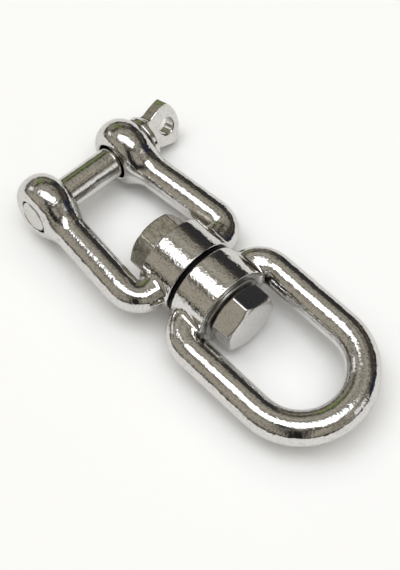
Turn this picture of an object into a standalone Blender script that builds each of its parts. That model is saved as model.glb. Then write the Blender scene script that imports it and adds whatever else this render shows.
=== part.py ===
"""Jaw-and-eye swivel for 8 mm rigging, stainless steel.

Frame: +X runs along the swivel axis from the jaw to the eye, +Y along the jaw's
screw pin towards its tab, +Z up. The origin is the centre of the bolt head's
flat outer face, which is on the swivel axis. The swivel lies on a level surface:
both hubs rest on it, and the jaw has rolled until the lug beside the tab touches.
"""
import math

import bmesh
import bpy
from mathutils import Matrix

MM = 0.001

# Driving dimensions, in millimetres. Stations along X are counted from the plane
# between the two hubs, and HEAD_FACE then moves everything to the origin.
ROD_R = 4.0                  # round rod of the jaw and the eye

HUB_R = 10.0                 # both hubs
HUB_GAP = 0.6                # each hub's face stands this far from the middle plane
HUB_END = 9.85               # outer end of each hub
HUB_EDGE = 0.35              # bevel of the hubs' edges
HUB_BORE_R = 4.3

PIN_X = 38.5                 # screw pin's axis, on the jaw's side
LUG_Y = 12.2                 # middle of each lug
LUG_R = 8.35                 # lug's outer radius
LUG_HALF = 4.6               # half of the lug's thickness
LUG_FACE_R = 4.75            # radius of the lug's flat outer face
ARM_Y = 14.7                 # arm's centre line beside the hub
JAW_BAR_X = 4.9              # jaw's rod crosses the hub here
JAW_CORNER_R = 5.3
THREAD_BORE_R = 4.2          # bore in the lug that the pin screws into
CLEAR_BORE_R = 4.5           # bore in the lug beside the tab

EYE_Y = 13.6                 # centre line of the loop's two legs
EYE_BOW_X = 31.3             # centre of the loop's half-round bow
EYE_BAR_X = 4.9              # eye's rod crosses the hub here
EYE_CORNER_R = 5.6

BOLT_R = 4.0
HEX_FLATS = 13.7             # across the flats, head and nut
HEAD_BASE = 10.5
HEAD_FACE = 16.35
NUT_BASE = 9.95
NUT_FACE = 15.9
BOLT_END = 16.4              # peened over the nut
HEX_FACE_R = 6.6             # flat circle left by the chamfers
HEX_CHAMFER = 32.0           # degrees, at both ends
HEAD_TURN = 5.0              # degrees from a corner pointing up
NUT_TURN = 30.0

THRUST_R, THRUST_HALF = 9.4, 0.5
WASHER_R, WASHER_FROM, WASHER_TO = 8.2, 9.95, 10.4
WASHER_HOLE_R = 4.3

PIN_R = 3.9
PIN_END = 16.8               # flush with the threaded lug's outer face
COLLAR_R, COLLAR_FROM, COLLAR_TO = 5.6, 17.0, 18.6
TAB_HALF = 1.65              # half of the tab's thickness
TAB_TILT = 21.0              # tab's normal, degrees above +X
TAB_U = -0.5                 # middle of the tab, across the pin's axis
TAB_TIP = 28.2
TAB_END_R = 9.1              # radius of the tab's rounded end
TAB_SIDE = [(4.0, 18.0), (4.3, 20.6), (5.1, 22.6), (5.6, 24.3)]
TAB_CORNER_U = 6.0
TAB_HOLE_U, TAB_HOLE_Y, TAB_HOLE_R = -0.3, 24.4, 2.2

JAW_ROLL = -7.5              # degrees about X, as the jaw lies on its lug
EYE_ROLL = 2.0

COLLECTION = "jaw_eye_swivel"

ALONG_X = Matrix.Rotation(math.pi / 2, 4, "Y")    # turns a local +Z to +X
ALONG_Y = Matrix.Rotation(-math.pi / 2, 4, "X")   # turns a local +Z to +Y
SHIFT = Matrix.Translation((-HEAD_FACE * MM, 0, 0))


def clear_scene():
    for obj in list(bpy.data.objects):
        bpy.data.objects.remove(obj, do_unlink=True)


def make_collection(name):
    collection = bpy.data.collections.new(name)
    bpy.context.scene.collection.children.link(collection)
    return collection


def make_material(name, colour, roughness):
    material = bpy.data.materials.new(name)
    material.use_nodes = True
    bsdf = material.node_tree.nodes["Principled BSDF"]
    bsdf.inputs["Base Color"].default_value = (*colour, 1.0)
    bsdf.inputs["Metallic"].default_value = 1.0
    bsdf.inputs["Roughness"].default_value = roughness
    return material


def make_empty(name, roll):
    """An empty on the swivel axis that holds the parts rolled with it."""
    empty = bpy.data.objects.new(name, None)
    parts.objects.link(empty)
    empty.matrix_world = SHIFT @ Matrix.Rotation(math.radians(roll), 4, "X")
    return empty


def place(obj, frame, local=Matrix()):
    obj.parent = frame
    obj.matrix_basis = local
    return obj


def as_mesh(source, name, collection):
    """The evaluated shape of a curve or a modified mesh, as a plain welded mesh."""
    depsgraph = bpy.context.evaluated_depsgraph_get()
    mesh = bpy.data.meshes.new_from_object(source.evaluated_get(depsgraph))
    bm = bmesh.new()
    bm.from_mesh(mesh)
    bmesh.ops.remove_doubles(bm, verts=bm.verts, dist=1e-6)
    bmesh.ops.recalc_face_normals(bm, faces=bm.faces)
    bm.to_mesh(mesh)
    bm.free()
    obj = bpy.data.objects.new(name, mesh)
    collection.objects.link(obj)
    bpy.data.objects.remove(source, do_unlink=True)
    return obj


def turned(name, profile, collection, steps=44):
    """A body turned about local Z from (radius, height) points, top to bottom."""
    mesh = bpy.data.meshes.new(name + "_source")
    points = [(r * MM, 0, z * MM) for r, z in profile]
    closed = profile[0][0] > 0
    edges = [(i, i + 1) for i in range(len(points) - 1)]
    if closed:
        edges.append((len(points) - 1, 0))
    mesh.from_pydata(points, edges, [])
    source = bpy.data.objects.new(name + "_source", mesh)
    collection.objects.link(source)
    screw = source.modifiers.new("turn", "SCREW")
    screw.axis = "Z"
    screw.steps = steps
    screw.render_steps = steps
    screw.use_merge_vertices = True
    screw.merge_threshold = 1e-6
    return as_mesh(source, name, collection)


def rod(name, path, radius, collection, cyclic=False):
    """A round rod along a path of points in the XY plane."""
    curve = bpy.data.curves.new(name, "CURVE")
    curve.dimensions = "3D"
    curve.bevel_depth = radius * MM
    curve.bevel_resolution = 6
    curve.use_fill_caps = True
    spline = curve.splines.new("POLY")
    spline.points.add(len(path) - 1)
    for point, (x, y) in zip(spline.points, path):
        point.co = (x * MM, y * MM, 0, 1)
    spline.use_cyclic_u = cyclic
    source = bpy.data.objects.new(name + "_source", curve)
    collection.objects.link(source)
    return as_mesh(source, name, collection)


def plate(name, outline, half, collection):
    """A flat outline in the local XY plane, given its thickness along Z."""
    curve = bpy.data.curves.new(name, "CURVE")
    curve.dimensions = "2D"
    curve.fill_mode = "BOTH"
    curve.extrude = half * MM
    spline = curve.splines.new("POLY")
    spline.points.add(len(outline) - 1)
    for point, (x, y) in zip(spline.points, outline):
        point.co = (x * MM, y * MM, 0, 1)
    spline.use_cyclic_u = True
    source = bpy.data.objects.new(name + "_source", curve)
    collection.objects.link(source)
    return as_mesh(source, name, collection)


def cylinder(name, radius, low, high, collection, sides=36):
    """A cylinder along local Z between two heights."""
    mesh = bpy.data.meshes.new(name)
    bm = bmesh.new()
    bmesh.ops.create_cone(bm, cap_ends=True, segments=sides, radius1=radius * MM,
                          radius2=radius * MM, depth=(high - low) * MM,
                          matrix=Matrix.Translation((0, 0, (low + high) / 2 * MM)))
    bm.to_mesh(mesh)
    bm.free()
    obj = bpy.data.objects.new(name, mesh)
    collection.objects.link(obj)
    return obj


def boolean(obj, operation, tool):
    tool.hide_render = True
    tool.display_type = "WIRE"
    modifier = obj.modifiers.new(tool.name, "BOOLEAN")
    modifier.operation = operation
    modifier.solver = "EXACT"
    modifier.object = tool


def finish(obj, material):
    obj.data.materials.clear()
    obj.data.materials.append(material)
    obj.data.shade_smooth()
    obj.data.set_sharp_from_angle(angle=math.radians(32))


def arc(cx, cy, radius, start, end, count):
    """Points on a circle between two angles in degrees, both ends included."""
    angles = [math.radians(start + (end - start) * i / count) for i in range(count + 1)]
    return [(cx + radius * math.cos(a), cy + radius * math.sin(a)) for a in angles]


def mirrored(half):
    """A path from -Y to +Y, from its +Y half that runs from the middle outwards."""
    return [(x, -y) for x, y in reversed(half)] + half


def jaw_path():
    """Centre line of the jaw's rod: across the hub, round a corner and out to a lug."""
    centre_x = -JAW_BAR_X - JAW_CORNER_R
    splay = math.degrees(math.atan2(ARM_Y - LUG_Y, PIN_X + centre_x))
    corner = arc(centre_x, ARM_Y - JAW_CORNER_R, JAW_CORNER_R, 0, 90 + splay, 9)
    return mirrored([*corner, (-PIN_X, LUG_Y)])


def eye_path():
    """Centre line of the eye's rod, a closed loop through the hub."""
    corner = arc(EYE_BAR_X + EYE_CORNER_R, EYE_Y - EYE_CORNER_R, EYE_CORNER_R, 180, 90, 9)
    bow = arc(EYE_BOW_X, 0, EYE_Y, 90, 0, 14)[:-1]
    half = corner + bow
    return mirrored(half) + [(EYE_BOW_X + EYE_Y, 0)]


def lug_profile():
    """Flat outer faces joined by a full round, symmetric about the lug's middle."""
    upper = []
    for i in range(7):
        angle = math.radians(90 - 90 * i / 7)
        upper.append((LUG_FACE_R + (LUG_R - LUG_FACE_R) * math.cos(angle),
                      LUG_HALF * math.sin(angle)))
    lower = [(r, -z) for r, z in reversed(upper)]
    return [(0, LUG_HALF), *upper, (LUG_R, 0), *lower, (0, -LUG_HALF)]


def hub_profile():
    """The eye's hub; the jaw's is its mirror image."""
    return [(0, HUB_END), (HUB_R - HUB_EDGE, HUB_END), (HUB_R, HUB_END - HUB_EDGE),
            (HUB_R, HUB_GAP + HUB_EDGE), (HUB_R - HUB_EDGE, HUB_GAP), (0, HUB_GAP)]


def build_jaw(frame, material):
    mirror = [(r, -x) for r, x in reversed(hub_profile())]
    jaw = place(turned("jaw_body", mirror, parts), frame, ALONG_X)
    boolean(jaw, "UNION", place(rod("jaw_rod", jaw_path(), ROD_R, tools), frame))
    for side, bore_r in ((1, CLEAR_BORE_R), (-1, THREAD_BORE_R)):
        seat = Matrix.Translation((-PIN_X * MM, side * LUG_Y * MM, 0)) @ ALONG_Y
        end = "tab" if side > 0 else "thread"
        boolean(jaw, "UNION", place(turned(f"lug_{end}", lug_profile(), tools), frame, seat))
        reach = LUG_HALF + 1.2
        bore = cylinder(f"bore_{end}", bore_r, -reach, reach, tools)
        boolean(jaw, "DIFFERENCE", place(bore, frame, seat))
    bore = cylinder("bore_jaw_hub", HUB_BORE_R, -HUB_END - 2, 2, tools)
    boolean(jaw, "DIFFERENCE", place(bore, frame, ALONG_X))
    finish(jaw, material)


def build_eye(frame, material):
    eye = place(turned("eye_body", hub_profile(), parts), frame, ALONG_X)
    boolean(eye, "UNION", place(rod("eye_rod", eye_path(), ROD_R, tools, cyclic=True), frame))
    bore = cylinder("bore_eye_hub", HUB_BORE_R, -2, HUB_END + 2, tools)
    boolean(eye, "DIFFERENCE", place(bore, frame, ALONG_X))
    finish(eye, material)


def hexagon(name, low, high, turn, frame, collection):
    """A hex prism along X between two stations, chamfered at both ends."""
    corner_r = HEX_FLATS / math.sqrt(3)
    hexa = cylinder(name, corner_r, low, high, collection, sides=6)
    spin = Matrix.Rotation(math.radians(turn), 4, "X")
    corner_up = Matrix.Rotation(math.pi / 2, 4, "Z")
    place(hexa, frame, spin @ ALONG_X @ corner_up)
    outer = corner_r + 1
    slope = (outer - HEX_FACE_R) * math.tan(math.radians(HEX_CHAMFER))
    profile = [(0, high), (HEX_FACE_R, high), (outer, high - slope),
               (outer, low + slope), (HEX_FACE_R, low), (0, low)]
    chamfer = turned(name + "_chamfer", profile, tools, steps=60)
    boolean(hexa, "INTERSECT", place(chamfer, frame, ALONG_X))
    return hexa


def build_bolt(frame, material):
    bolt = hexagon("swivel_bolt", HEAD_BASE, HEAD_FACE, HEAD_TURN, frame, parts)
    shank = [(0, HEAD_BASE + 1), (BOLT_R, HEAD_BASE + 1), (BOLT_R, -BOLT_END + 0.7),
             (BOLT_R - 0.3, -BOLT_END + 0.3), (BOLT_R - 1.0, -BOLT_END), (0, -BOLT_END)]
    boolean(bolt, "UNION", place(turned("bolt_shank", shank, tools), frame, ALONG_X))
    finish(bolt, material)


def build_nut(frame, material):
    nut = hexagon("swivel_nut", -NUT_FACE, -NUT_BASE, NUT_TURN, frame, parts)
    bore = cylinder("bore_nut", WASHER_HOLE_R, -NUT_FACE - 2, -NUT_BASE + 2, tools)
    boolean(nut, "DIFFERENCE", place(bore, frame, ALONG_X))
    finish(nut, material)


def build_washer(name, radius, low, high, frame, material):
    ring = [(WASHER_HOLE_R, high), (radius, high), (radius, low), (WASHER_HOLE_R, low)]
    finish(place(turned(name, ring, parts), frame, ALONG_X), material)


def tab_outline():
    """Half of the paddle's edge, mirrored: splayed sides and a rounded end."""
    centre_y = TAB_TIP - TAB_END_R
    reach = math.degrees(math.asin(TAB_CORNER_U / TAB_END_R))
    end = [(-u, v) for u, v in arc(0, centre_y, TAB_END_R, 90, 90 + reach, 7)][1:]
    half = [(0, TAB_TIP), *end, *reversed(TAB_SIDE)]
    whole = half + [(-u, v) for u, v in reversed(half[1:])]
    return [(u + TAB_U, v) for u, v in whole]


def build_pin(frame, material):
    at_pin = Matrix.Translation((-PIN_X * MM, 0, 0))
    profile = [(0, COLLAR_TO), (COLLAR_R - 0.5, COLLAR_TO), (COLLAR_R - 0.15, COLLAR_TO - 0.15),
               (COLLAR_R, COLLAR_TO - 0.5), (COLLAR_R, COLLAR_FROM + 0.5),
               (COLLAR_R - 0.15, COLLAR_FROM + 0.15), (COLLAR_R - 0.5, COLLAR_FROM),
               (PIN_R, COLLAR_FROM), (PIN_R, -PIN_END + 0.3), (PIN_R - 0.3, -PIN_END),
               (0, -PIN_END)]
    pin = place(turned("screw_pin", profile, parts), frame, at_pin @ ALONG_Y)
    tilt = Matrix.Rotation(math.radians(90 - TAB_TILT), 4, "Y")
    tab = place(plate("tab", tab_outline(), TAB_HALF, tools), frame, at_pin @ tilt)
    boolean(pin, "UNION", tab)
    at_hole = at_pin @ tilt @ Matrix.Translation((TAB_HOLE_U * MM, TAB_HOLE_Y * MM, 0))
    hole = cylinder("tab_hole", TAB_HOLE_R, -TAB_HALF - 2, TAB_HALF + 2, tools)
    boolean(pin, "DIFFERENCE", place(hole, frame, at_hole))
    finish(pin, material)


clear_scene()
parts = make_collection(COLLECTION)
tools = make_collection("cutters")

jaw_frame = make_empty("jaw_frame", JAW_ROLL)
eye_frame = make_empty("eye_frame", EYE_ROLL)
bolt_frame = make_empty("bolt_frame", 0)

build_jaw(jaw_frame, make_material("polished_jaw", (0.62, 0.59, 0.54), 0.12))
build_eye(eye_frame, make_material("polished_eye", (0.64, 0.61, 0.56), 0.12))
build_bolt(bolt_frame, make_material("bolt_steel", (0.58, 0.56, 0.52), 0.2))
build_nut(bolt_frame, make_material("nut_steel", (0.42, 0.40, 0.35), 0.35))
build_washer("head_washer", WASHER_R, WASHER_FROM, WASHER_TO, bolt_frame,
             make_material("washer_steel", (0.40, 0.39, 0.36), 0.3))
build_washer("thrust_washer", THRUST_R, -THRUST_HALF, THRUST_HALF, bolt_frame,
             make_material("washer_dark", (0.03, 0.03, 0.03), 0.5))
build_pin(jaw_frame, make_material("pin_steel", (0.60, 0.58, 0.53), 0.18))
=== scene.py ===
"""Looks for the jaw-and-eye swivel: fine polished castings, bolt, nut and screw pin."""

import math

import bpy
import numpy as np
from mathutils import Euler, Matrix, Vector


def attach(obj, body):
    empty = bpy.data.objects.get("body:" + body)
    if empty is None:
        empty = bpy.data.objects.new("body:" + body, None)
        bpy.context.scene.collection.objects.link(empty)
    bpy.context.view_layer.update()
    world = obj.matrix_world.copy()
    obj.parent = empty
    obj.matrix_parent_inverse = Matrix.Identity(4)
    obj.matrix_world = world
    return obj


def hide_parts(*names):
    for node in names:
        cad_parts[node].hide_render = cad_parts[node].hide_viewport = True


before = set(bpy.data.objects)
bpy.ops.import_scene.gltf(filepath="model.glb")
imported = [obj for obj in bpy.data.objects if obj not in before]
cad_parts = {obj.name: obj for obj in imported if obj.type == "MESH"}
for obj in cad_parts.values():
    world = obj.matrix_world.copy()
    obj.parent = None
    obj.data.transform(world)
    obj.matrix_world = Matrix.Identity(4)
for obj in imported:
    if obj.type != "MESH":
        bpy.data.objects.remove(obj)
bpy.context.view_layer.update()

MM = 0.001
HEAD_FACE = 16.35            # the origin's station, counted from the plane between the hubs
JAW_ROLL, EYE_ROLL = math.radians(-7.5), math.radians(2.0)

# Sizes in millimetres, the same as the CAD's
ROD_R, HUB_R, HUB_GAP, HUB_END, HUB_BORE_R = 4.0, 10.0, 0.6, 9.85, 4.3
PIN_X, LUG_Y, LUG_R, LUG_HALF, LUG_FACE_R = 38.5, 12.2, 8.35, 4.6, 4.75
ARM_Y, JAW_BAR_X, JAW_CORNER_R = 14.7, 4.9, 5.3
THREAD_BORE_R, CLEAR_BORE_R = 4.2, 4.5
EYE_Y, EYE_BOW_X, EYE_BAR_X, EYE_CORNER_R = 13.6, 31.3, 4.9, 5.6
BOLT_R, HEX_FLATS, HEX_FACE_R = 4.0, 13.7, 6.6
HEAD_BASE, NUT_BASE, NUT_FACE, BOLT_END = 10.5, 9.95, 15.9, 16.4
HEAD_TURN, NUT_TURN = math.radians(5.0), math.radians(30.0)
PIN_R, PIN_END = 3.9, 16.8
COLLAR_R, COLLAR_FROM, COLLAR_TO = 5.6, 17.0, 18.6
TAB_HALF, TAB_TILT, TAB_TIP, TAB_END_R = 1.65, math.radians(21.0), 28.2, 9.1
TAB_SIDE = [(4.0, 18.0), (4.3, 20.6), (5.1, 22.6), (5.6, 24.3)]
TAB_U, TAB_CORNER_U, TAB_HOLE_U, TAB_HOLE_Y, TAB_HOLE_R = -0.5, 6.0, -0.3, 24.4, 2.2
HEX_CHAMFER = math.radians(32)
THREAD_PITCH = 1.25

# Washers, slightly thicker than the CAD's
THRUST_R, THRUST_HALF = 9.4, 0.55
WASHER_R, WASHER_FROM, WASHER_TO = 8.2, 9.87, 10.4

# Softening that the CAD leaves out, in millimetres
FILLET, LUG_FILLET, TAB_FILLET = 1.0, 2.4, 2.0
JAW_CREASE, EYE_CREASE, BEND_BLEND = 0.8, 3.0, 1.6
HUB_EDGE, BORE_EDGE, END_EDGE, COLLAR_EDGE = 0.35, 0.4, 0.5, 0.45
HEX_CORNER, HEX_RIM, CHAMFER_RIM = 0.35, 0.2, 0.25
TAB_CORNER, TAB_RIM, TAB_SLANT = 0.6, 0.3, 0.95
PEEN = 1.4                   # rounding of the bolt's peened end
PIN_THREAD, BORE_THREAD = 0.62, 0.3
THREAD_FROM, THREAD_FADE = -8.2, 0.8

BORE_REACH = 12              # the hubs' bores stop at this station
FAR = 1e3
HEX_BOX = 8                  # half size of the box that a hexagon is meshed in
CASTING_CELL, FINE_CELL = 0.28, 0.2
WASHER_EDGE, THRUST_EDGE = 0.12, 0.15

COARSE = 1.0


# ---------------------------------------------------------------- distance fields
# Each field takes an (N, 3) array of points in millimetres and gives signed distances.

def smooth_min(a, b, k):
    h = np.maximum(k - np.abs(a - b), 0.0) / k
    return np.minimum(a, b) - h * h * k * 0.25


def smooth_max(a, b, k):
    return -smooth_min(-a, -b, k)


def to_segment(x, y, ax, ay, bx, by):
    """Distance in the plane to a straight run from a to b."""
    dx, dy = bx - ax, by - ay
    t = np.clip(((x - ax) * dx + (y - ay) * dy) / (dx * dx + dy * dy), 0, 1)
    return np.hypot(x - ax - t * dx, y - ay - t * dy)


def disc(along, rho, low, high, radius, edge):
    """Disc with rounded rims, from stations along its axis and distances from it."""
    a = rho - radius + edge
    b = np.abs(along - (low + high) / 2) - (high - low) / 2 + edge
    return np.minimum(np.maximum(a, b), 0) + np.hypot(np.maximum(a, 0), np.maximum(b, 0)) - edge


def thread(along, x, z):
    """A wave from 0 to 1 and back that winds about an axis once in each pitch."""
    turn = np.arctan2(z, x) / (2 * math.pi)
    return np.abs(((along / THREAD_PITCH + turn) % 1.0) - 0.5) * 2


def bend(x, y, z, a, b, cx, cy, radius, sweep, crease):
    """A rod's corner: a crease where the two runs meet inside, round on the outside."""
    mitre = smooth_min(np.hypot(a, z), np.hypot(b, z), crease) - ROD_R
    angle = np.degrees(np.arctan2(y - cy, x - cx)) / sweep
    blend = BEND_BLEND * np.sin(np.pi * np.clip(angle, 0, 1)) + 1e-3
    outside = np.hypot(np.maximum(np.hypot(x - cx, y - cy) - radius, 0), z) - ROD_R
    turned = (angle > 0) & (angle < 1)
    return np.where(turned, smooth_max(mitre, outside, blend), mitre)


def jaw_field(p):
    x, y, z = p.T
    ay = np.abs(y)
    cx, cy = -JAW_BAR_X - JAW_CORNER_R, ARM_Y - JAW_CORNER_R
    splay = math.atan2(ARM_Y - LUG_Y, PIN_X + cx)
    tip = ARM_Y + math.tan(splay) * JAW_CORNER_R
    arm = to_segment(x, ay, -PIN_X, LUG_Y, -JAW_BAR_X, tip)
    bar = to_segment(x, ay, -JAW_BAR_X, tip, -JAW_BAR_X, 0)
    sweep = 90 + math.degrees(splay)
    rod = bend(x, ay, z, arm, bar, cx, cy, JAW_CORNER_R, sweep, JAW_CREASE)
    rho = np.hypot(y, z)
    body = smooth_min(rod, disc(x, rho, -HUB_END, -HUB_GAP, HUB_R, HUB_EDGE), FILLET)
    # Lugs: flat faces joined by a full round
    lug_rho = np.maximum(np.hypot(x + PIN_X, z) - LUG_FACE_R, 0)
    side = ay - LUG_Y
    wide = LUG_R - LUG_FACE_R
    k1 = np.hypot(lug_rho / wide, side / LUG_HALF)
    k2 = np.hypot(lug_rho / wide ** 2, side / LUG_HALF ** 2) + 1e-9
    body = smooth_min(body, k1 * (k1 - 1) / k2, LUG_FILLET)
    body = np.maximum(body, x + HUB_GAP)
    body = smooth_max(body, HUB_BORE_R - rho + np.where(x < -BORE_REACH, -FAR, 0), BORE_EDGE)
    seat = np.hypot(x + PIN_X, z)
    groove = thread(y, x + PIN_X, z)
    threaded = THREAD_BORE_R - BORE_THREAD / 2 + BORE_THREAD * groove
    return smooth_max(body, np.where(y > 0, CLEAR_BORE_R, threaded) - seat, END_EDGE)


def eye_field(p):
    x, y, z = p.T
    ay = np.abs(y)
    cx, cy = EYE_BAR_X + EYE_CORNER_R, EYE_Y - EYE_CORNER_R
    leg = to_segment(x, ay, EYE_BOW_X, EYE_Y, EYE_BAR_X, EYE_Y)
    bar = to_segment(x, ay, EYE_BAR_X, EYE_Y, EYE_BAR_X, 0)
    rod = bend(-x, ay, z, leg, bar, -cx, cy, EYE_CORNER_R, 90, EYE_CREASE)
    bow = np.where(x >= EYE_BOW_X, np.abs(np.hypot(x - EYE_BOW_X, y) - EYE_Y), FAR)
    rod = np.minimum(rod, np.hypot(bow, z) - ROD_R)
    rho = np.hypot(y, z)
    body = smooth_min(rod, disc(x, rho, HUB_GAP, HUB_END, HUB_R, HUB_EDGE), FILLET)
    body = np.maximum(body, HUB_GAP - x)
    return smooth_max(body, HUB_BORE_R - rho + np.where(x > BORE_REACH, -FAR, 0), BORE_EDGE)


def hexagon(p, turn, edge):
    """Prism along X with a corner at +Z before it turns, softened corners."""
    c, s = math.cos(turn), math.sin(turn)
    y, z = c * p[:, 1] + s * p[:, 2], -s * p[:, 1] + c * p[:, 2]
    d = np.abs(y) - HEX_FLATS / 2
    for angle in (60, 120):
        a = math.radians(angle)
        d = smooth_max(d, np.abs(y * math.cos(a) + z * math.sin(a)) - HEX_FLATS / 2, edge)
    return d


def chamfer(x, rho, face, out):
    """Cone that takes the corners off a hexagon at one end; out is its outward sign."""
    slope = math.tan(HEX_CHAMFER)
    return ((x - face) * out + (rho - HEX_FACE_R) * slope) / math.hypot(1, slope)


def hex_solid(p, turn, low, high):
    x = p[:, 0]
    rho = np.hypot(p[:, 1], p[:, 2])
    ends = np.abs(x - (low + high) / 2) - (high - low) / 2
    body = smooth_max(hexagon(p, turn, HEX_CORNER), ends, HEX_RIM)
    body = smooth_max(body, chamfer(x, rho, high, 1), CHAMFER_RIM)
    return smooth_max(body, chamfer(x, rho, low, -1), CHAMFER_RIM)


def bolt_field(p):
    x = p[:, 0]
    rho = np.hypot(p[:, 1], p[:, 2])
    head = hex_solid(p, HEAD_TURN, HEAD_BASE, HEAD_FACE)
    shank = smooth_max(rho - BOLT_R, np.maximum(-x - BOLT_END, x - HEAD_BASE - 1), PEEN)
    return np.minimum(head, shank)


def nut_field(p):
    body = hex_solid(p, NUT_TURN, -NUT_FACE, -NUT_BASE)
    return smooth_max(body, HUB_BORE_R - np.hypot(p[:, 1], p[:, 2]), END_EDGE)


def tab_outline():
    """The paddle's edge as (half width, station) points from the collar to the tip."""
    centre = TAB_TIP - TAB_END_R
    reach = math.asin(TAB_CORNER_U / TAB_END_R)
    end = [(TAB_END_R * math.sin(reach * (1 - i / 9)),
            centre + TAB_END_R * math.cos(reach * (1 - i / 9))) for i in range(10)]
    return TAB_SIDE + end


def pin_field(p):
    """In the pin's own frame: Y along the pin, Z the tab's normal."""
    x, y, z = p.T
    rho = np.hypot(x, z)
    threaded = np.clip((THREAD_FROM - y) / THREAD_FADE, 0, 1)
    shank = rho - (PIN_R - PIN_THREAD * thread(y, x, z) * threaded)
    shank = smooth_max(shank, np.abs(y) - PIN_END, END_EDGE)
    shank = np.where(y > 0, np.maximum(rho - PIN_R, y - COLLAR_FROM - 0.5), shank)
    body = np.minimum(shank, disc(y, rho, COLLAR_FROM, COLLAR_TO, COLLAR_R, COLLAR_EDGE))
    x = x - TAB_U
    outline = tab_outline()
    half = np.interp(y, [v for _, v in outline], [u for u, _ in outline])
    centre = TAB_TIP - TAB_END_R
    sides = (np.abs(x) - half) * TAB_SLANT
    end = np.hypot(x, y - centre) - TAB_END_R
    flat = np.maximum(smooth_max(sides, end, TAB_CORNER), TAB_SIDE[0][1] - y)
    tab = smooth_max(flat, np.abs(z) - TAB_HALF, TAB_RIM)
    body = smooth_min(body, tab, TAB_FILLET)
    hole = np.hypot(x + TAB_U - TAB_HOLE_U, y - TAB_HOLE_Y)
    return smooth_max(body, TAB_HOLE_R - hole, BORE_EDGE)


# ---------------------------------------------------------------- meshing

def place(name, data):
    obj = bpy.data.objects.new(name, data)
    bpy.context.scene.collection.objects.link(obj)
    return obj


def gradient(field, points, step=0.02):
    grad = np.empty_like(points)
    for axis in range(3):
        offset = np.zeros(3)
        offset[axis] = step
        grad[:, axis] = (field(points + offset) - field(points - offset)) / (2 * step)
    return grad


def onto_surface(field, points, steps, reach):
    for _ in range(steps):
        grad = gradient(field, points)
        size = np.maximum((grad ** 2).sum(1), 0.05)
        move = -(field(points) / size)[:, None] * grad
        length = np.linalg.norm(move, axis=1, keepdims=True)
        points = points + move * np.minimum(1, reach / np.maximum(length, 1e-9))
    return points


def corners(values, u, v):
    """Views of a grid at the four corners of each cell face in the plane of two axes."""
    for du, dv in ((0, 0), (1, 0), (1, 1), (0, 1)):
        where = [slice(None)] * 3
        where[u] = slice(du, values.shape[u] - 1 + du)
        where[v] = slice(dv, values.shape[v] - 1 + dv)
        yield values[tuple(where)]


def untie(values, depth):
    """Moves grid points just inside until no cell face has its inside corners on a diagonal,
    so that each edge of the net joins two quads."""
    tied = True
    while tied:
        tied = False
        for u, v in ((0, 1), (0, 2), (1, 2)):
            a, b, c, d = corners(values, u, v)
            diagonal = ((a < 0) == (c < 0)) & ((b < 0) == (d < 0)) & ((a < 0) != (b < 0))
            if diagonal.any():
                tied = True
                fill_b, fill_a = diagonal & (a < 0), diagonal & (b < 0)
                b[fill_b] = -depth
                a[fill_a] = -depth


def net(field, low, high, cell):
    """A closed quad mesh of a field's zero surface, one vertex in each cell it crosses."""
    low, high = np.array(low, float) - 1.5 * cell, np.array(high, float) + 1.5 * cell
    count = np.ceil((high - low) / cell).astype(int) + 1
    axes = [low[i] + cell * np.arange(count[i]) for i in range(3)]
    values = np.empty(count)
    for i, x in enumerate(axes[0]):
        gy, gz = np.meshgrid(axes[1], axes[2], indexing="ij")
        points = np.column_stack([np.full(gy.size, x), gy.ravel(), gz.ravel()])
        values[i] = field(points).reshape(gy.shape)
    untie(values, 0.02 * cell)
    inside = values < 0
    total = np.zeros((*(count - 1), 3))
    hits = np.zeros(count - 1)
    corner = [(i, j, k) for i in (0, 1) for j in (0, 1) for k in (0, 1)]

    def part(array, c):
        return array[tuple(slice(o, n - 1 + o) for o, n in zip(c, count))]

    for a in corner:
        for axis in range(3):
            if a[axis]:
                continue
            b = tuple(v + (i == axis) for i, v in enumerate(a))
            va, vb = part(values, a), part(values, b)
            crossed = (va < 0) != (vb < 0)
            share = np.where(crossed, va / np.where(crossed, va - vb, 1), 0)
            for i in range(3):
                total[..., i] += crossed * (a[i] + (share if i == axis else 0))
            hits += crossed
    used = hits > 0
    index = np.full(used.shape, -1)
    index[used] = np.arange(used.sum())
    cells = np.argwhere(used)
    points = low + cell * (cells + total[used] / hits[used][:, None])
    quads = []
    for axis in range(3):
        u, v = (axis + 1) % 3, (axis + 2) % 3
        first = [slice(None)] * 3
        first[axis] = slice(0, count[axis] - 1)
        second = list(first)
        second[axis] = slice(1, count[axis])
        a, b = inside[tuple(first)], inside[tuple(second)]
        where = np.argwhere(a != b)
        where = where[(where[:, u] > 0) & (where[:, v] > 0)]
        out = a[tuple(where.T)]
        ring = []
        for du, dv in ((1, 1), (0, 1), (0, 0), (1, 0)):
            c = where.copy()
            c[:, u] -= du
            c[:, v] -= dv
            ring.append(index[tuple(c.T)])
        ring = np.column_stack(ring)
        ring[~out] = ring[~out][:, ::-1]
        quads.append(ring)
    quads = np.concatenate(quads)
    return points, quads


def relax(field, points, quads, rounds, pull=0.6, reach=0.15):
    """Evens out the net within the surface."""
    a = quads.ravel()
    b = np.roll(quads, -1, axis=1).ravel()
    degree = np.bincount(a, minlength=len(points)) + np.bincount(b, minlength=len(points))
    for _ in range(rounds):
        mean = np.empty_like(points)
        for i in range(3):
            mean[:, i] = (np.bincount(a, points[b, i], len(points))
                          + np.bincount(b, points[a, i], len(points))) / degree
        points = onto_surface(field, points + pull * (mean - points), 2, reach)
    return points


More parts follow.
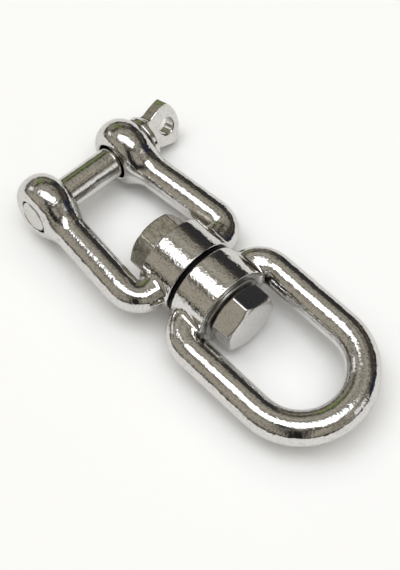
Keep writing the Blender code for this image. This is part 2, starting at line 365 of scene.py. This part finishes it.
def solid(name, field, low, high, cell, matrix, material, rounds=3):
    """A piece made from a field, in the row frame, with the field's own normals."""
    cell *= COARSE
    points, quads = net(field, low, high, cell)
    points = onto_surface(field, points, 3, 0.5 * cell)
    points = relax(field, points, quads, rounds)
    normals = gradient(field, points, 0.01)
    normals /= np.maximum(np.linalg.norm(normals, axis=1, keepdims=True), 1e-9)
    turn = np.array(matrix)[:3, :3]
    moved = points @ turn.T * MM + np.array(matrix)[:3, 3]
    mesh = bpy.data.meshes.new(name)
    mesh.from_pydata(moved.tolist(), [], quads.tolist())
    mesh.shade_smooth()
    mesh.normals_split_custom_set_from_vertices((normals @ turn.T).tolist())
    mesh.materials.append(material)
    return place(name, mesh)


def ring(name, inner, outer, low, high, edge, matrix, material, sides=96):
    """A flat washer about X with small bevels."""
    profile = [(low, inner + edge), (low + edge, inner), (high - edge, inner), (high, inner + edge),
               (high, outer - edge), (high - edge, outer), (low + edge, outer), (low, outer - edge)]
    verts, faces = [], []
    n = len(profile)
    for i in range(sides):
        a = 2 * math.pi * i / sides
        for x, r in profile:
            verts.append(matrix @ Vector((x * MM, r * MM * math.cos(a), r * MM * math.sin(a))))
        for j in range(n):
            k, m = (j + 1) % n, (i + 1) % sides
            faces.append((i * n + j, i * n + k, m * n + k, m * n + j))
    mesh = bpy.data.meshes.new(name)
    mesh.from_pydata(verts, [], faces)
    mesh.shade_smooth()
    mesh.set_sharp_from_angle(angle=math.radians(30))
    mesh.materials.append(material)
    return place(name, mesh)


# ---------------------------------------------------------------- materials

class Nodes:
    """A short way to build a material's node tree."""

    def __init__(self, name):
        self.material = bpy.data.materials.new(name)
        self.material.use_nodes = True
        self.tree = self.material.node_tree
        self.bsdf = self.tree.nodes["Principled BSDF"]
        self.where = self.add("ShaderNodeTexCoord").outputs["Object"]

    def add(self, kind, **values):
        node = self.tree.nodes.new(kind)
        for key, value in values.items():
            if hasattr(node, key):
                setattr(node, key, value)
            else:
                self.set(node.inputs[key], value)
        return node

    def set(self, socket, value):
        if isinstance(value, bpy.types.NodeSocket):
            self.tree.links.new(value, socket)
        else:
            socket.default_value = value

    def noise(self, scale, detail=2.0, rough=0.5):
        """Noise whose scale is in cells per metre."""
        node = self.add("ShaderNodeTexNoise", Scale=scale, Detail=detail, Roughness=rough)
        self.set(node.inputs["Vector"], self.where)
        return node.outputs["Fac"]

    def ramp(self, value, stops):
        node = self.add("ShaderNodeValToRGB")
        while len(node.color_ramp.elements) < len(stops):
            node.color_ramp.elements.new(0.5)
        for element, (at, colour) in zip(node.color_ramp.elements, stops):
            element.position = at
            grey = isinstance(colour, (int, float))
            element.color = (colour, colour, colour, 1) if grey else (*colour, 1)
        self.set(node.inputs["Fac"], value)
        return node.outputs["Color"]

    def times(self, a, b):
        node = self.add("ShaderNodeMix", data_type="RGBA", blend_type="MULTIPLY")
        self.set(node.inputs[0], 1.0)
        self.set(node.inputs[6], a)
        self.set(node.inputs[7], b)
        return node.outputs[2]

    def bump(self, layers):
        """Bumps of (height, distance in metres, strength), one over the other."""
        normal = None
        for height, distance, strength in layers:
            node = self.add("ShaderNodeBump", Strength=strength, Distance=distance)
            self.set(node.inputs["Height"], height)
            if normal is not None:
                self.set(node.inputs["Normal"], normal)
            normal = node.outputs["Normal"]
        self.set(self.bsdf.inputs["Normal"], normal)


EDGE_TINT = (0.84, 0.83, 0.81, 1.0)     # polish looks darker seen edge on


def polished(name, colour, dark, rough, ripple=0.5):
    """Buffed cast stainless: slow ripple, orange peel, fine pitted grain, duller patches."""
    m = Nodes(name)
    m.set(m.bsdf.inputs["Metallic"], 1.0)
    tint = m.ramp(m.noise(260, 4, 0.6), [(0.3, dark), (0.7, colour)])
    grain = m.ramp(m.noise(2200, 3, 0.7), [(0.34, 0.70), (0.50, 1.0)])
    m.set(m.bsdf.inputs["Base Color"], m.times(tint, grain))
    duller = m.ramp(m.noise(420, 5, 0.65), [(0.3, rough[0]), (0.72, rough[1])])
    m.set(m.bsdf.inputs["Roughness"], duller)
    m.set(m.bsdf.inputs["Specular Tint"], EDGE_TINT)
    m.bump([(m.noise(170, 1), 0.0004, ripple * 0.35), (m.noise(800, 1), 0.00010, ripple),
            (m.noise(2000, 1), 0.00005, ripple * 1.4)])
    return m.material


def grainy(name, colour, dark, rough, grain):
    """Unpolished metal with a sandy grain."""
    m = Nodes(name)
    m.set(m.bsdf.inputs["Metallic"], 1.0)
    tint = m.ramp(m.noise(1700, 4, 0.7), [(0.35, dark), (0.65, colour)])
    m.set(m.bsdf.inputs["Base Color"], tint)
    duller = m.ramp(m.noise(900, 3), [(0.3, rough[0]), (0.7, rough[1])])
    m.set(m.bsdf.inputs["Roughness"], duller)
    m.bump([(m.noise(300, 2), 0.0002, 0.15), (m.noise(2300, 3), 0.00009, grain)])
    return m.material


jaw_steel = polished("jaw_polish", (0.72, 0.71, 0.695), (0.66, 0.645, 0.625), (0.04, 0.09))
eye_steel = polished("eye_polish", (0.73, 0.72, 0.705), (0.67, 0.655, 0.635), (0.04, 0.09))
bolt_steel = polished("bolt_polish", (0.71, 0.705, 0.695), (0.66, 0.65, 0.635), (0.05, 0.12), 0.2)
pin_steel = polished("pin_polish", (0.71, 0.70, 0.68), (0.65, 0.63, 0.60), (0.05, 0.12), 0.35)
nut_steel = grainy("nut_cast", (0.58, 0.55, 0.48), (0.26, 0.24, 0.20), (0.22, 0.36), 0.6)
washer_steel = grainy("washer_steel", (0.50, 0.49, 0.46), (0.36, 0.35, 0.33), (0.25, 0.4), 0.2)
# The thrust washer is near-black: a black washer whose colour also paints the deep shade in the gap
# between the hubs.
washer_dark = grainy("washer_dark", (0.012, 0.012, 0.012), (0.006, 0.006, 0.006), (0.5, 0.6), 0.2)


# ---------------------------------------------------------------- pieces

shift = Matrix.Translation((-HEAD_FACE * MM, 0, 0))
jaw_frame = shift @ Matrix.Rotation(JAW_ROLL, 4, "X")
eye_frame = shift @ Matrix.Rotation(EYE_ROLL, 4, "X")
at_pin = jaw_frame @ Matrix.Translation((-PIN_X * MM, 0, 0))
tab_frame = at_pin @ Matrix.Rotation(math.pi / 2 - TAB_TILT, 4, "Y")

outer = ARM_Y + ROD_R
jaw = solid("jaw_casting", jaw_field, (-PIN_X - LUG_R, -outer, -HUB_R),
            (-HUB_GAP, outer, HUB_R), CASTING_CELL, jaw_frame, jaw_steel)
side = EYE_Y + ROD_R
eye = solid("eye_casting", eye_field, (HUB_GAP, -side, -HUB_R),
            (EYE_BOW_X + side, side, HUB_R), CASTING_CELL, eye_frame, eye_steel)
bolt = solid("hex_bolt", bolt_field, (-BOLT_END, -HEX_BOX, -HEX_BOX),
             (HEAD_FACE, HEX_BOX, HEX_BOX), FINE_CELL, shift, bolt_steel)
nut = solid("hex_nut", nut_field, (-NUT_FACE, -HEX_BOX, -HEX_BOX),
            (-NUT_BASE, HEX_BOX, HEX_BOX), FINE_CELL, shift, nut_steel)
pin = solid("screw_pin_fine", pin_field, (TAB_U - TAB_CORNER_U, -PIN_END, -COLLAR_R),
            (COLLAR_R, TAB_TIP, COLLAR_R), FINE_CELL, tab_frame, pin_steel)
head_ring = ring("head_ring", HUB_BORE_R, WASHER_R, WASHER_FROM, WASHER_TO, WASHER_EDGE,
                 shift, washer_steel)
# Near-black thrust washer: its own black colour plus painted shade for the gap between the hubs.
thrust_ring = ring("thrust_ring", HUB_BORE_R, THRUST_R, -THRUST_HALF, THRUST_HALF, THRUST_EDGE,
                   shift, washer_dark)

for piece, body, node, slot in (
        (jaw, "jaw", "jaw_body", "polished_jaw"), (eye, "eye", "eye_body", "polished_eye"),
        (bolt, "bolt", "swivel_bolt", "bolt_steel"), (nut, "bolt", "swivel_nut", "nut_steel"),
        (pin, "pin", "screw_pin", "pin_steel"),
        (head_ring, "bolt", "head_washer", "washer_steel"),
        (thrust_ring, "bolt", "thrust_washer", "washer_dark")):
    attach(piece, body)
    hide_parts(node)


# ---------------------------------------------------------------- stage, light and camera

FLOOR_Z, FLOOR_HALF = -HUB_R * MM - 0.00005, 20


def make_floor():
    mesh = bpy.data.meshes.new("floor")
    s, z = FLOOR_HALF, FLOOR_Z
    mesh.from_pydata([(-s, -s, z), (s, -s, z), (s, s, z), (-s, s, z)], [], [(0, 1, 2, 3)])
    floor = place("floor", mesh)
    m = Nodes("pale_floor")
    m.set(m.bsdf.inputs["Base Color"], (0.86, 0.86, 0.855, 1))
    m.set(m.bsdf.inputs["Roughness"], 0.8)
    m.set(m.bsdf.inputs["Specular IOR Level"], 0.1)
    mesh.materials.append(m.material)


def toward(azimuth, zenith):
    a, z = math.radians(azimuth), math.radians(zenith)
    return Vector((math.sin(z) * math.cos(a), math.sin(z) * math.sin(a), math.cos(z)))


# What the polish has to reflect: azimuth and angle from straight up in degrees, turn,
# half sizes and edge softness as slopes, and radiance
ROOM = [
    ("overhead softbox", 290, 5, 20, 0.56, 0.185, 0.24, (4.5, 4.6, 4.75)),
    ("side softbox", 24, 70, 0, 0.16, 0.20, 0.10, (1.0, 1.0, 1.0)),
    ("far softbox", 200, 64, 0, 0.13, 0.15, 0.10, (1.10, 1.10, 1.08)),
    ("north shelf", 82, 60, 0, 0.75, 0.17, 0.16, (0.060, 0.053, 0.042)),
    ("low north shelf", 66, 84, 0, 0.60, 0.22, 0.14, (0.028, 0.028, 0.032)),
    ("north-west shelf", 145, 56, 0, 0.30, 0.14, 0.20, (0.060, 0.052, 0.040)),
    ("dark cloth", 110, 74, 0, 0.17, 0.26, 0.10, (0.042, 0.041, 0.044)),
    ("south-east flag", 309, 58, 0, 0.20, 0.30, 0.20, (0.020, 0.020, 0.022)),
    ("low south-east flag", 309, 88, 0, 0.20, 0.36, 0.15, (0.020, 0.020, 0.022)),
    ("navy cloth", 50, 74, 0, 0.16, 0.22, 0.20, (0.025, 0.030, 0.060)),
    ("green card", 157, 64, 0, 0.19, 0.13, 0.08, (0.19, 0.26, 0.08)),
    ("cream card", 246, 54, 0, 0.20, 0.20, 0.10, (0.42, 0.385, 0.32)),
    ("small dark flag", 290, 30, 0, 0.12, 0.16, 0.14, (0.07, 0.07, 0.07)),
]
SOUTH_WALL, NORTH_WALL = (0.45, 0.415, 0.345, 1), (0.26, 0.24, 0.20, 1)
CEILING, CLUTTER, SKIRTING = (0.45, 0.425, 0.36, 1), (0.10, 0.083, 0.062, 1), (0.035, 0.030, 0.024, 1)
# Slope and offset of each blend, by height or by noise
CEILING_BLEND, CLUTTER_BLEND, SKIRTING_BLEND = (2.0, -0.7), (8.0, -3.9), (-18.0, 2.6)

FILL_SIZE, FILL_POWER, FILL_HEIGHT = 1.6, 7.2, 1.0
CAMERA_AT = (0.09458, -0.08967, 0.27174)
CAMERA_TURN = (27.367, 2.727, 45.910)    # degrees
CAMERA_LENS, CAMERA_SENSOR = 85.67, 36.0


def make_world():
    """A taupe room with softboxes, dark flags and a few tinted cards."""
    world = bpy.data.worlds.new("room")
    world.use_nodes = True
    bpy.context.scene.world = world
    tree = world.node_tree
    background = tree.nodes["Background"]
    where = tree.nodes.new("ShaderNodeTexCoord").outputs["Generated"]

    def link(socket, value):
        if isinstance(value, bpy.types.NodeSocket):
            tree.links.new(value, socket)
        else:
            socket.default_value = value

    def calc(kind, a, b=0.0, c=0.0):
        node = tree.nodes.new("ShaderNodeMath")
        node.operation = kind
        node.use_clamp = kind == "MULTIPLY_ADD"
        for socket, value in zip(node.inputs, (a, b, c)):
            link(socket, value)
        return node.outputs[0]

    def dot(vector):
        node = tree.nodes.new("ShaderNodeVectorMath")
        node.operation = "DOT_PRODUCT"
        link(node.inputs[0], where)
        node.inputs[1].default_value = vector
        return node.outputs["Value"]

    def mix(factor, a, b):
        node = tree.nodes.new("ShaderNodeMix")
        node.data_type = "RGBA"
        link(node.inputs[0], factor)
        link(node.inputs[6], a)
        link(node.inputs[7], b)
        return node.outputs[2]

    north = calc("MULTIPLY_ADD", dot((0, 1, 0)), 0.5, 0.5)
    walls = mix(north, SOUTH_WALL, NORTH_WALL)
    colour = mix(calc("MULTIPLY_ADD", dot((0, 0, 1)), *CEILING_BLEND), walls, CEILING)
    stretched = tree.nodes.new("ShaderNodeMapping")
    stretched.inputs["Scale"].default_value = (1.3, 1.3, 5.5)
    link(stretched.inputs["Vector"], where)
    clutter = tree.nodes.new("ShaderNodeTexNoise")
    clutter.inputs["Scale"].default_value = 1.3
    clutter.inputs["Detail"].default_value = 5.0
    link(clutter.inputs["Vector"], stretched.outputs["Vector"])
    colour = mix(calc("MULTIPLY_ADD", clutter.outputs["Fac"], *CLUTTER_BLEND), colour, CLUTTER)
    for _, azimuth, zenith, turn, half_u, half_v, soft, tint in ROOM:
        centre = toward(azimuth, zenith)
        u = (Vector((0, 0, 1)) if zenith > 8 else Vector((0, 1, 0))).cross(centre).normalized()
        v = centre.cross(u)
        t = math.radians(turn)
        u, v = math.cos(t) * u + math.sin(t) * v, math.cos(t) * v - math.sin(t) * u
        ahead = dot(centre)
        depth = calc("MAXIMUM", ahead, 0.001)
        mask = calc("GREATER_THAN", ahead, 0.001)
        for axis, half in ((u, half_u), (v, half_v)):
            off = calc("ABSOLUTE", calc("DIVIDE", dot(axis), depth))
            mask = calc("MULTIPLY", mask, calc("MULTIPLY_ADD", off, -1 / soft, half / soft + 0.5))
        colour = mix(mask, colour, (*tint, 1))
    colour = mix(calc("MULTIPLY_ADD", dot((0, 0, 1)), *SKIRTING_BLEND), colour, SKIRTING)
    link(background.inputs["Color"], colour)


def make_fill():
    """A broad light over the table that softens the shadows and isn't mirrored in the steel."""
    data = bpy.data.lights.new("fill", "AREA")
    data.shape = "SQUARE"
    data.size = FILL_SIZE
    data.energy = FILL_POWER
    fill = place("fill", data)
    fill.location = (0, 0, FILL_HEIGHT)
    fill.visible_glossy = False


def make_camera():
    data = bpy.data.cameras.new("camera")
    camera = place("camera", data)
    bpy.context.scene.camera = camera
    camera.location = CAMERA_AT
    camera.rotation_euler = Euler([math.radians(a) for a in CAMERA_TURN])
    data.lens = CAMERA_LENS
    data.sensor_width = CAMERA_SENSOR
    data.clip_start, data.clip_end = 0.01, 20


make_floor()
make_world()
make_fill()
make_camera()
bpy.context.scene.view_settings.view_transform = "Standard"
